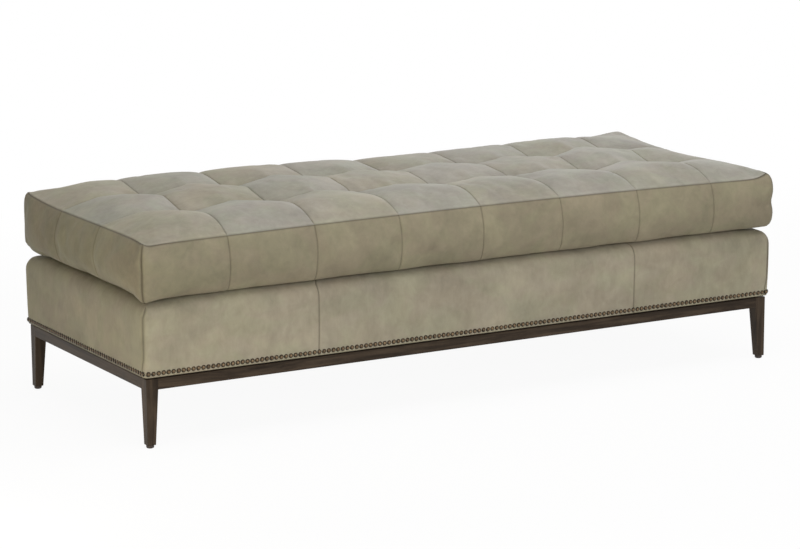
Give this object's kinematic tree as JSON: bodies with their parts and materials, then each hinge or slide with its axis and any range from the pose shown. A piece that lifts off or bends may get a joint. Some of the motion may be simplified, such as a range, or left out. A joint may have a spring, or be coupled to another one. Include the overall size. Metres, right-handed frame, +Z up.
{
  "type": "rectangular ottoman",
  "caption": "Long low leather ottoman: a padded box with nail trim on a slim dark wood leg frame, under a loose boxed cushion with blind tufting in square panels",
  "frame": {"origin": "middle of the footprint, on the floor under the glides", "axes": "+X along the length to the right as seen from the front, +Y to the back, +Z up; the front faces -Y"},
  "size_m": [1.6336, 0.6614, 0.4762],
  "materials": {
    "espresso_wood": "dark espresso stain, satin",
    "hardwood": "plain sawn hardwood",
    "glide_plastic": "moulded nylon glide",
    "screw_steel": "zinc plated",
    "black_stain": "black stain",
    "black_cloth": "spun black cloth",
    "webbing": "woven jute",
    "foam": "cut upholstery foam",
    "box_leather": "matte brushed leather, sage grey",
    "nail_bronze": "dark antique bronze",
    "cushion_leather": "matte brushed leather, sage grey",
    "batting": "polyester fibre",
    "tuft_twine": "waxed twine",
    "washer_plastic": "moulded washer"
  },
  "bodies": {
    "base": {"front_left_leg": "espresso_wood", "front_right_leg": "espresso_wood", "back_left_leg": "espresso_wood", "back_right_leg": "espresso_wood", "front_apron": "espresso_wood", "back_apron": "espresso_wood", "left_apron": "espresso_wood", "right_apron": "espresso_wood", "left_cross_rail": "hardwood", "right_cross_rail": "hardwood", "base_corner_blocks": "hardwood", "box_front_rail": "hardwood", "box_back_rail": "hardwood", "box_left_rail": "hardwood", "box_right_rail": "hardwood", "box_corner_blocks": "hardwood", "left_cross_slat": "hardwood", "middle_cross_slat": "hardwood", "right_cross_slat": "hardwood", "leg_glides": "glide_plastic", "base_screws": "screw_steel", "front_plinth": "black_stain", "back_plinth": "black_stain", "left_plinth": "black_stain", "right_plinth": "black_stain", "dust_cover": "black_cloth", "deck_cloth": "black_cloth", "lengthwise_webbing": "webbing", "crosswise_webbing": "webbing", "deck_insulator": "webbing", "deck_foam": "foam", "front_edge_foam": "foam", "back_edge_foam": "foam", "left_edge_foam": "foam", "right_edge_foam": "foam", "front_left_leather": "box_leather", "front_middle_leather": "box_leather", "front_right_leather": "box_leather", "back_left_leather": "box_leather", "back_middle_leather": "box_leather", "back_right_leather": "box_leather", "left_end_leather": "box_leather", "right_end_leather": "box_leather", "front_nail_row": "nail_bronze", "back_nail_row": "nail_bronze", "left_nail_row": "nail_bronze", "right_nail_row": "nail_bronze"},
    "cushion": {"cushion_top": "cushion_leather", "cushion_front_boxing": "cushion_leather", "cushion_back_boxing": "cushion_leather", "cushion_left_boxing": "cushion_leather", "cushion_right_boxing": "cushion_leather", "cushion_underside": "cushion_leather", "cushion_batting": "batting", "cushion_foam": "foam", "tuft_cords": "tuft_twine", "tuft_washers": "washer_plastic"}
  },
  "joints": [
    {"name": "cushion_lift", "type": "slide", "parent": "base", "child": "cushion", "axis": [0, 0, 1], "range_m": [0, 0.3]}
  ]
}
